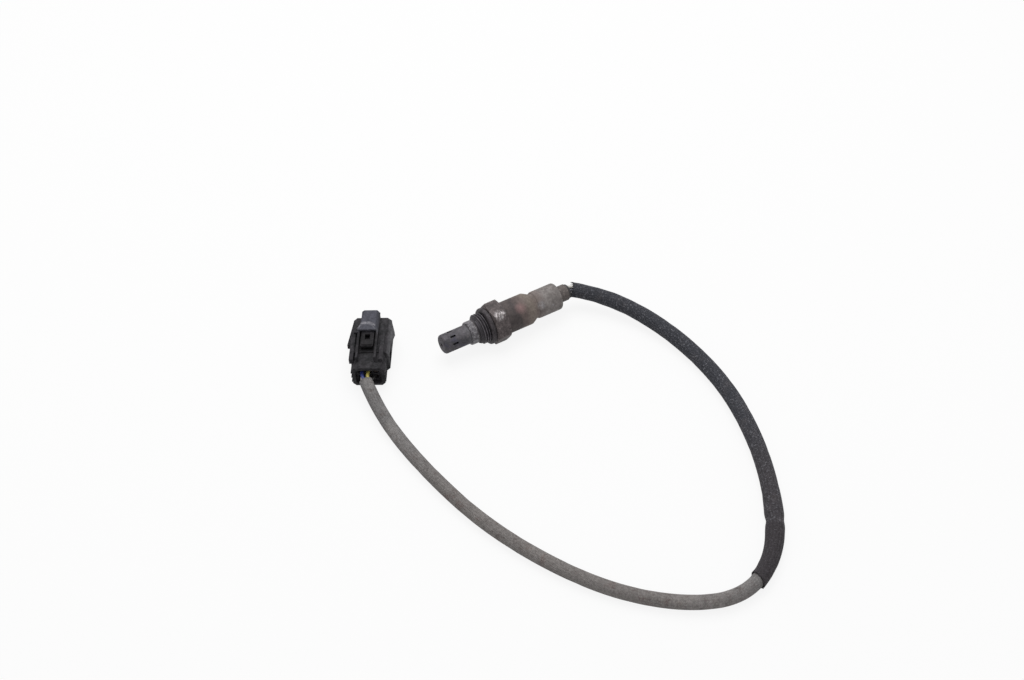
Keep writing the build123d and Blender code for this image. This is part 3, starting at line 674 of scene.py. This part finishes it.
nose_radius, root_radius, crest_radius, groove_radius = 0.00685, 0.00803, 0.00895, 0.0078
nose_front, thread_front, thread_rear = 0.0166, 0.0218, 0.0273
hex_front, hex_rear, across_flats = 0.03035, 0.03935, 0.022
pitch, lead_in_slope, run_out_slope = 0.0015, 1.6, 3.5
cap_bore, cap_bore_rear, holder_bore = 0.0057, 0.0208, 0.0043
stack_bore, stack_front, stack_rear = 0.006, 0.0244, 0.0404
spigot_radius, spigot_rear, lip_bore = 0.00855, 0.0418, 0.005
nose_round = 0.0007

body = turned("shell", [
    (nose_front, cap_bore),
    *rounding(nose_front + nose_round, nose_radius - nose_round, nose_round, 180, 90, 5),
    (thread_front, nose_radius), (thread_front + 0.0006, root_radius), (thread_rear, root_radius),
    (thread_rear, groove_radius), (hex_front + 0.0005, groove_radius),
    (hex_front + 0.0005, spigot_radius), (spigot_rear, spigot_radius), (spigot_rear, lip_bore),
    (stack_rear, lip_bore), (stack_rear, stack_bore), (stack_front, stack_bore),
    (stack_front, holder_bore), (cap_bore_rear, holder_bore), (cap_bore_rear, cap_bore),
])

ridge_front, ridge_foot = thread_front - 0.0006, root_radius - 0.0002
ridge = section("ridge", [
    (ridge_front, ridge_foot), (ridge_front + pitch * 0.42, crest_radius),
    (ridge_front + pitch * 0.54, crest_radius), (ridge_front + pitch * 0.96, ridge_foot),
    (ridge_front, ridge_foot),
])
bpy.ops.mesh.select_all(action="SELECT")
bpy.ops.mesh.remove_doubles(threshold=0.000002)
bpy.ops.transform.translate(value=(0, 0, -axis_z))
bpy.ops.object.mode_set(mode="OBJECT")
helix = ridge.modifiers.new("helix", "SCREW")
helix.axis = "X"
helix.angle = 2 * pi
helix.screw_offset = pitch
helix.iterations = 4
helix.steps = helix.render_steps = 96
bpy.ops.object.modifier_apply(modifier="helix")
edit(ridge)
bpy.ops.mesh.remove_doubles(threshold=0.000002)
bpy.ops.mesh.fill_holes(sides=0)
bpy.ops.mesh.select_all(action="SELECT")
bpy.ops.mesh.normals_make_consistent(inside=False)
bpy.ops.transform.translate(value=(0, 0, axis_z))
bpy.ops.object.mode_set(mode="OBJECT")
for vertex in ridge.data.vertices:
    station = vertex.co.x + sensor_half
    radius = hypot(vertex.co.y, vertex.co.z - axis_z)
    lead_in = nose_radius + (station - thread_front) * lead_in_slope
    run_out = crest_radius - max(0.0, station - thread_rear + 0.0003) * run_out_slope
    allowed = max(min(radius, lead_in, run_out), root_radius - 0.0004)
    vertex.co.y *= allowed / radius
    vertex.co.z = axis_z + (vertex.co.z - axis_z) * allowed / radius

corner_radius = across_flats / 2 / cos(radians(30))
bpy.ops.object.select_all(action="DESELECT")
bpy.ops.mesh.primitive_cylinder_add(
    vertices=6, radius=corner_radius, depth=hex_rear - hex_front,
    location=(at((hex_front + hex_rear) / 2), 0, axis_z), rotation=(0, pi / 2, 0),
)
hexagon = bpy.context.object
hexagon.name = "hexagon"
bpy.ops.object.transform_apply(location=True, rotation=True, scale=True)
blunt, blunt_length = 0.0023, 0.0011
cones = turned("cones", [
    (hex_front, 0.0), (hex_front, corner_radius - blunt), (hex_front + blunt_length, corner_radius),
    (hex_front + 0.0012, corner_radius + 0.0002), (hex_rear - 0.0012, corner_radius + 0.0002),
    (hex_rear - blunt_length, corner_radius), (hex_rear, corner_radius - blunt), (hex_rear, 0.0),
], 144)
cut(hexagon, cones, "INTERSECT")


def sooty_steel(name, bare):
    """The shell's steel: ash on the nose, paste in the thread, soot and scratches behind."""
    finish = Finish(name, roughness=0.6, specular=0.35)
    station = finish.part_of(finish.spot, "X") + sensor_half
    cloud, fine = finish.grain(0.004, 4.0, 3.0), finish.grain(0.0008, 3.0, 4.0)
    speck = finish.rise(finish.grain(0.0012, 4.0, 6.0, 0.75), 0.52, 0.66)
    pit = finish.rise(finish.grain(0.0014, 4.0, 13.0, 0.75), 0.54, 0.66)
    steel = finish.blend(finish.rise(cloud, 0.4, 0.62), colour(64, 58, 58), colour(88, 80, 80))
    steel = finish.blend(speck * 0.45, steel, colour(116, 106, 104))
    steel = finish.blend(pit * 0.7, steel, colour(34, 28, 30))
    steel = finish.blend(bare, steel, colour(108, 103, 104))
    paste = finish.rise(station + 0.0016 * fine, thread_front - 0.0008, thread_front + 0.0002)
    paste = paste * (1 - finish.rise(station, hex_front - 0.0006, hex_front))
    steel = finish.blend(paste, steel, colour(50, 47, 51))
    # Painted highlight on the thread's crests, broken up where the paste is rubbed off them.
    crest_highlight_and_wear = paste * finish.rise(finish.off_axis(), 0.00865, 0.0089)
    rubbed = finish.rise(finish.grain(0.0022, 3.0, 8.0), 0.38, 0.6)
    steel = finish.blend(crest_highlight_and_wear * (0.2 + 0.6 * rubbed), steel, colour(112, 107, 112))
    ash = 1 - finish.rise(station + 0.0022 * fine, thread_front - 0.0008, thread_front + 0.0002)
    flake = finish.rise(finish.grain(0.0016, 4.0, 15.0, 0.75), 0.42, 0.6)
    steel = finish.blend(
        ash, steel, finish.blend(flake, colour(78, 75, 79), colour(128, 126, 129)))
    slipped = finish.near((at(0.0346), -0.0055, 0.0220), 0.0020, 0.0042)
    scratch = finish.node(
        "ShaderNodeTexNoise", {"noise_dimensions": "3D"},
        {"Vector": finish.node(
            "ShaderNodeMapping", {},
            {"Vector": finish.spot, "Rotation": (0.0, 0.0, 0.7), "Scale": (2.4, 0.9, 1.0)}),
         "Scale": 520.0, "Detail": 4.0, "Roughness": 0.7})
    bright = slipped * finish.rise(scratch, 0.42, 0.6)
    steel = finish.blend(slipped * 0.3, steel, colour(112, 104, 104))
    steel = finish.blend(bright, steel, colour(156, 151, 152))
    finish.put("Base Color", finish.shaded(steel, finish.mottle(0.0012, 17.0, 0.66, 1.3)))
    finish.put("Metallic", 0.2 + 0.2 * bright)
    finish.put("Roughness", 0.62 - 0.22 * bright + 0.2 * fine - 0.1)
    finish.relief(fine + 0.5 * speck, 0.00008)
    return finish.material


dull_steel = sooty_steel("sooty_steel", 0.0)
rubbed_steel = sooty_steel("rubbed_steel", 0.55)
for piece in (body, ridge, hexagon):
    piece.data.materials.append(dull_steel)
    piece.data.materials.append(rubbed_steel)
broken_edges(hexagon, 0.00022, 1, 20)
broken_edges(body, 0.00012, 1)
shell = joined("threaded_shell", [body, ridge, hexagon])
finished(shell)
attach(shell, "root")
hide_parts("hex_shell")

# ---------------------------------------------------------------- gasket
# A crush washer folded from thin steel sheet into a hollow ring. It has been tightened once, so
# its faces are flattened, its rim bulges and it can't come off over the thread.

gasket_front, gasket_rear, gasket_rim, gasket_bore = 0.02735, 0.03035, 0.01085, 0.00815
sheet, fold, fold_inside = 0.0005, 0.0011, 0.0004
gasket = turned("gasket", [
    (gasket_front, gasket_bore), (gasket_front, gasket_rim - fold),
    *rounding(gasket_front + fold, gasket_rim - fold, fold, 180, 90, 5),
    *rounding(gasket_rear - fold, gasket_rim - fold, fold, 90, 0, 5),
    (gasket_rear, gasket_bore), (gasket_rear - sheet, gasket_bore),
    (gasket_rear - sheet, gasket_rim - sheet - fold_inside),
    (gasket_rear - 2 * sheet, gasket_rim - sheet),
    (gasket_front + 2 * sheet, gasket_rim - sheet),
    (gasket_front + sheet, gasket_rim - sheet - fold_inside),
    (gasket_front + sheet, gasket_bore),
])
dent_depth, dented_from = 0.012, 0.0095
for vertex in gasket.data.vertices:
    across, above = vertex.co.y, vertex.co.z - axis_z
    radius, turn = hypot(across, above), atan2(above, across)
    dent = max(0.0, noise.noise(Vector((cos(turn) * 2, sin(turn) * 2, 7))))
    dented = 1 - dent_depth * dent * (radius > dented_from)
    vertex.co.y *= dented
    vertex.co.z = axis_z + (vertex.co.z - axis_z) * dented
finished(gasket)
crushed_steel = Finish("crushed_steel", metallic=0.25, roughness=0.55, specular=0.35)
fine = crushed_steel.grain(0.0007, 3.0, 1.0)
cloud = crushed_steel.rise(crushed_steel.grain(0.003, 4.0, 2.0), 0.42, 0.62)
steel = crushed_steel.blend(cloud, colour(42, 38, 41), colour(62, 57, 60))
speck = crushed_steel.rise(crushed_steel.grain(0.0012, 4.0, 6.0, 0.75), 0.54, 0.66)
steel = crushed_steel.blend(speck * 0.4, steel, colour(104, 98, 100))
crushed_steel.put("Base Color", crushed_steel.shaded(steel, crushed_steel.mottle(0.001, 17.0)))
crushed_steel.put("Roughness", 0.4 + 0.35 * fine)
crushed_steel.relief(fine, 0.00006)
gasket.data.materials.append(crushed_steel.material)
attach(gasket, "root")
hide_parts("sealing_washer")

# ---------------------------------------------------------------- casings
# Two tubes drawn from stainless sheet. The front one is welded to the shell and necked at its
# rear; the rear one slips over the neck and ends in a collar squeezed on the grommet. Heat has
# browned them, most of all at the front one's shoulder.

front_radius, neck_radius, rear_radius, collar_radius = 0.0094, 0.0074, 0.00805, 0.00485
shoulder, neck, waist_end, neck_end = 0.05555, 0.05895, 0.06015, 0.06615
rear_shoulder, collar_front, collar_rear = 0.07515, 0.07635, 0.08185
front_wall, rear_wall = 0.0008, 0.00055

front_casing = turned("front_tube", [
    (hex_rear, front_radius - front_wall), (hex_rear, front_radius - 0.0002),
    (hex_rear + 0.0002, front_radius), (shoulder - 0.0006, front_radius),
    *rounding(shoulder - 0.0006, front_radius - 0.0014, 0.0014, 90, 60, 3),
    *reversed(rounding(neck + 0.0003, neck_radius + 0.001, 0.001, 270, 240, 3)),
    (neck_end, neck_radius), (neck_end, neck_radius - front_wall),
    (neck + 0.0002, neck_radius - front_wall), (shoulder - 0.0002, front_radius - front_wall),
])
rear_casing = turned("rear_tube", [
    (waist_end, rear_radius - rear_wall),
    (waist_end, neck_radius + 0.00006), (waist_end + 0.0003, neck_radius + 0.00032),
    (waist_end + 0.0007, rear_radius - 0.00012), (waist_end + 0.0013, rear_radius),
    *rounding(rear_shoulder - 0.0007, rear_radius - 0.0013, 0.0013, 90, 18, 6),
    (collar_front - 0.0002, collar_radius + 0.0004), (collar_front + 0.0003, collar_radius),
    (collar_rear - 0.0003, collar_radius), (collar_rear, collar_radius - 0.00015),
    (collar_rear, collar_radius - rear_wall), (collar_front, collar_radius - rear_wall),
    (rear_shoulder - 0.0005, rear_radius - 0.0016),
    (rear_shoulder - 0.0011, rear_radius - rear_wall),
])


def browned_steel(name):
    """Stainless sheet after years on an exhaust: brown in front, warm grey behind."""
    finish = Finish(name, roughness=0.6, specular=0.35)
    station = finish.part_of(finish.spot, "X") + sensor_half
    cloud, fine = finish.grain(0.0055, 4.0, 5.0), finish.grain(0.0009, 3.0, 6.0)
    patch = finish.rise(cloud, 0.4, 0.62)
    wander = station + 0.012 * finish.grain(0.008, 4.0, 21.0, 0.65) - 0.0066
    speck = finish.rise(finish.grain(0.0014, 4.0, 7.0, 0.75), 0.52, 0.66)
    front = finish.blend(patch, colour(60, 54, 54), colour(76, 69, 68))
    rust = finish.rise(wander, 0.0455, 0.0485) * (1 - finish.rise(wander, 0.0525, 0.0560))
    front = finish.blend(rust * 0.5, front, colour(108, 94, 90))
    tan = finish.rise(wander, 0.0490, 0.0535)
    front = finish.blend(
        tan, front, finish.blend(patch, colour(108, 99, 92), colour(124, 114, 107)))
    flush = finish.near((at(0.0486), -0.0045, 0.0191), 0.0003, 0.0046)
    front = finish.blend(flush * (0.3 + 0.6 * fine), front, colour(136, 108, 107))
    scorched = finish.rise(station, 0.0560, 0.0590) * (1 - finish.rise(wander, 0.0605, 0.0650))
    rear = finish.blend(patch, colour(106, 101, 99), colour(126, 121, 119))
    steel = finish.blend(finish.rise(wander, 0.0575, 0.0625), front, rear)
    steel = finish.blend(scorched * 0.45, steel, colour(96, 84, 82))
    collar = finish.rise(station, collar_front - 0.0002, collar_front + 0.0004)
    steel = finish.blend(
        collar, steel, finish.blend(speck, colour(86, 80, 78), colour(126, 117, 112)))
    steel = finish.blend(speck * 0.35 * (1 - collar), steel, colour(88, 78, 75))
    # Painted shade: the rear casing is darker on its lower side.
    height = finish.part_of(finish.spot, "Z")
    painted_shade = finish.rise(station, 0.0690, 0.0760) * (1 - finish.rise(height, 0.0090, 0.0130))
    steel = finish.blend(painted_shade * 0.5, steel, colour(62, 58, 57))
    rubbed = finish.near((at(0.0618), -0.0063, 0.0161), 0.0008, 0.0036)
    nick = finish.near((at(0.0686), -0.0076, 0.0138), 0.0002, 0.0012)
    bright = (rubbed + nick) * finish.rise(finish.grain(0.0022, 4.0, 23.0, 0.7), 0.36, 0.6)
    steel = finish.blend(bright * 0.75, steel, colour(150, 148, 150))
    finish.put("Base Color", finish.shaded(steel, finish.mottle(0.0012, 17.0, 0.83, 1.16)))
    finish.put("Metallic", 0.15 + 0.4 * bright)
    finish.put("Roughness", 0.55 + 0.3 * fine)
    finish.relief(fine + 0.6 * speck, 0.00006)
    return finish.material


casing_steel = browned_steel("browned_steel")
for piece, node in ((front_casing, "front_casing"), (rear_casing, "rear_casing")):
    finished(piece)
    piece.data.materials.append(casing_steel)
    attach(piece, "root")
    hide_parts(node)

# ---------------------------------------------------------------- plug
# A sealed connector moulded in black plastic: hood, terminal tower, lock arm and its bridge and
# rails are one piece. The bridge flares to the left at its rear, and the right wing slopes down
# behind. Dust lies on its upper faces, and its edges are rubbed grey. On the bridge a painted
# sheen lies over the dust, a painted highlight runs round its rear and painted shade along its
# right side; the latch arm in its recess is painted in shade.

bridge_rear, flare_front, bridge_foot, bridge_top = 0.0245, 0.0340, 0.0070, 0.0055
bridge_inset, foot_flare, top_flare = 0.0013, 0.0035, 0.0027
wing_front, wing_inner, wing_slope = 0.0290, -0.0108, 0.0090
foot_low, foot_high, top_low, wing_low, wing_high = 0.0154, 0.0179, 0.0200, 0.0102, 0.0134
latch_left = 0.0012

plug = nodes["plug_housing"].copy()
plug.data = nodes["plug_housing"].data.copy()
plug.name = "plug_moulding"
for key in list(plug.keys()):
    del plug[key]
plug.parent = None
bpy.context.collection.objects.link(plug)
edit(plug)
bpy.ops.mesh.remove_doubles(threshold=0.000002)
bpy.ops.mesh.dissolve_limited(angle_limit=radians(1))
for station in (0.0265, 0.0285, 0.0310, flare_front):
    bpy.ops.mesh.select_all(action="SELECT")
    bpy.ops.mesh.bisect(plane_co=in_plug(station, 0, 0), plane_no=plug_along)
bpy.ops.mesh.select_all(action="SELECT")
bpy.ops.mesh.normals_make_consistent(inside=False)
bpy.ops.object.mode_set(mode="OBJECT")
for vertex in plug.data.vertices:
    away = vertex.co - plug_rear
    along, left, up = away.dot(plug_along), away.dot(plug_left), away.dot(plug_up)
    on_foot = abs(left - bridge_foot) < 0.00005 and foot_low < up < foot_high
    on_top = abs(left - bridge_top) < 0.00005 and up > top_low
    if along > bridge_rear - 0.0001 and (on_foot or on_top):
        flare = max(0.0, (flare_front - along) / (flare_front - bridge_rear)) ** 1.4
        vertex.co += plug_left * ((foot_flare if on_foot else top_flare) * flare - bridge_inset)
    at_wing = abs(along - wing_front) < 0.0001 and abs(left - wing_inner) < 0.0001
    if at_wing and wing_low < up < wing_high:
        vertex.co -= plug_along * wing_slope


def dusty_plastic(name, rub):
    """Black moulded plastic: dust, painted sheen, highlight and shade, and grey rubbed places."""
    finish = Finish(name, roughness=0.6, specular=0.12)
    away = finish.vectors("SUBTRACT", finish.spot, plug_rear)
    along, left, height = (
        finish.vectors("DOT_PRODUCT", away, side, output="Value")
        for side in (plug_along, plug_left, plug_up))
    cloud, fine = finish.grain(0.005, 4.0, 1.0), finish.grain(0.0007, 3.0, 2.0)
    streak = finish.rise(finish.grain(0.0024, 4.0, 3.0, 0.75), 0.48, 0.64)
    plastic = finish.blend(finish.rise(cloud, 0.4, 0.6), colour(30, 30, 32), colour(46, 44, 47))
    plastic = finish.blend(streak * (0.22 + rub), plastic, colour(92, 90, 94))
    # Painted shade over the latch arm in its recess behind the bridge.
    painted_shade = 1 - finish.rise(abs(left - latch_left), 0.0046, 0.0058)
    painted_shade = painted_shade * (1 - finish.rise(along, 0.0240, 0.0246)) * finish.rise(along, 0.008, 0.012)
    plastic = finish.blend(painted_shade * 0.6, plastic, colour(24, 22, 24))
    flank = finish.rise(0 - left, 0.0088, 0.0104) * finish.rise(height, 0.004, 0.008)
    plastic = finish.blend(flank * 0.4, plastic, colour(104, 103, 106))
    # Dust on the bridge's top, with a painted sheen lightening it further.
    bridge_dust_and_sheen = finish.rise(along + 0.002 * cloud, bridge_rear, bridge_rear + 0.0017)
    bridge_dust_and_sheen = bridge_dust_and_sheen * finish.rise(height, 0.0175, 0.0195)
    plastic = finish.blend(bridge_dust_and_sheen * (0.3 + 0.5 * cloud), plastic, colour(86, 87, 97))
    # A painted highlight in an arc round the bridge's rear, as if a rounded rim caught the light,
    # broken up like wear.
    from_middle = finish.node(
        "ShaderNodeCombineXYZ", {},
        {0: (along - 0.0233) * 0.86, 1: left - latch_left - 0.0010})
    round_rear = finish.vectors("LENGTH", from_middle, output="Value")
    wear_and_highlight = 1 - finish.rise(abs(round_rear - 0.0056), 0.0004, 0.0013)
    wear_and_highlight = wear_and_highlight * bridge_dust_and_sheen * finish.rise(finish.grain(0.0022, 4.0, 8.0, 0.7), 0.36, 0.6)
    plastic = finish.blend(wear_and_highlight * 0.85, plastic, colour(134, 133, 138))
    # Painted shade over the right-hand side of the bridge's top.
    lip_shade = bridge_dust_and_sheen * finish.rise(latch_left - left, 0.0034, 0.0046)
    plastic = finish.blend(lip_shade * 0.6, plastic, colour(50, 51, 56))
    finish.put("Base Color", finish.shaded(plastic, finish.mottle(0.0011, 17.0, 0.76, 1.24)))
    finish.put("Roughness", 0.5 + 0.3 * fine)
    finish.relief(fine, 0.00004)
    return finish.material


plug.data.materials.clear()
plug.data.materials.append(dusty_plastic("dusty_plastic", 0.0))
plug.data.materials.append(dusty_plastic("rubbed_plastic", 0.45))
broken_edges(plug, 0.00018, 1)
finished(plug)
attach(plug, "root")
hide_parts("plug_housing")

# ---------------------------------------------------------------- inner pieces
# What the casings and the plug hide or nearly hide keeps its solid's shape: ceramics, talc,
# contacts, springs and rubber, each in its own plain finish.


def plain(name, tint, metallic, roughness, lump, depth):
    """A clean finish with a little variation of its own."""
    finish = Finish(name, metallic=metallic, roughness=roughness)
    fine = finish.grain(lump, 3.0, 1.0)
    finish.put("Base Color", finish.shaded(colour(*tint)[:3], 0.85 + 0.3 * fine))
    finish.put("Roughness", roughness - 0.1 + 0.2 * fine)
    finish.relief(fine, depth)
    return finish.material


inner_finishes = (
    ("white_ceramic", (226, 222, 212), 0.0, 0.6, 0.0008, 0.00003,
     ("sensing_element", "front_holder", "rear_ceramic", "contact_block")),
    ("pressed_talc", (205, 202, 196), 0.0, 0.8, 0.0005, 0.00004, ("talc_seal",)),
    ("soft_metal", (150, 148, 146), 0.9, 0.45, 0.0006, 0.00003, ("packing_ring",)),
    ("spring_metal", (170, 168, 164), 1.0, 0.3, 0.0006, 0.00002,
     ("contact_springs", "holder_spring", "terminals")),
    ("black_rubber", (44, 43, 44), 0.0, 0.75, 0.0009, 0.00005, ("grommet",)),
    ("seal_rubber", (74, 62, 56), 0.0, 0.6, 0.0008, 0.00003,
     ("ring_seal", "wire_seals", "blind_plug")),
    ("grey_plastic", (118, 118, 120), 0.0, 0.5, 0.0008, 0.00003, ("terminal_retainer",)),
)
for name, tint, metallic, roughness, lump, depth, members in inner_finishes:
    material = plain(name, tint, metallic, roughness, lump, depth)
    for member in members:
        nodes[member].data.materials.clear()
        nodes[member].data.materials.append(material)

# ---------------------------------------------------------------- floor and light
# A white table top under an even white sky, with one broad soft lamp above and behind the sensor.

table_glow, sky_light = 0.87, 0.62


def seen_directly(nodes):
    """1 for rays from the camera, off a shiny surface or through a clear one, else 0."""
    camera_ray, glossy_ray, clear_ray = (
        nodes.node("ShaderNodeLightPath", {}, {}, output)
        for output in ("Is Camera Ray", "Is Glossy Ray", "Is Transmission Ray"))
    return nodes.maths("MAXIMUM", camera_ray, nodes.maths("MAXIMUM", glossy_ray, clear_ray))


bpy.ops.object.select_all(action="DESELECT")
bpy.ops.mesh.primitive_plane_add(size=6, location=(0, 0, -0.00003))
floor = bpy.context.object
floor.name = "floor"
table_top = Finish("table_top", roughness=0.9, specular=0.1)
table_top.shader.inputs["Base Color"].default_value = (0.72, 0.72, 0.72, 1)
table = table_top.node("ShaderNodeMixShader", {}, {
    0: seen_directly(table_top) * table_glow,
    1: Value(table_top, table_top.shader.outputs[0]),
    2: table_top.node("ShaderNodeEmission", {}, {}),
})
table_top.tree.links.new(
    table.socket, table_top.tree.nodes["Material Output"].inputs["Surface"])
floor.data.materials.append(table_top.material)

world = bpy.data.worlds.new("sky")
bpy.context.scene.world = world
world.use_nodes = True
sky = world.node_tree.nodes["Background"]
sky.inputs["Color"].default_value = (1, 1, 1, 1)
strength = sky_light + (1 - sky_light) * seen_directly(Nodes(world.node_tree))
world.node_tree.links.new(strength.socket, sky.inputs["Strength"])

lamp = bpy.data.objects.new("lamp", bpy.data.lights.new("lamp", "AREA"))
bpy.context.collection.objects.link(lamp)
lamp.data.energy = 9
lamp.data.size = 0.9
lamp.location = (0.15, 0.35, 1.0)
lamp.rotation_euler = (aim - lamp.location).to_track_quat("-Z", "Y").to_euler()

bpy.context.scene.view_settings.view_transform = "Standard"
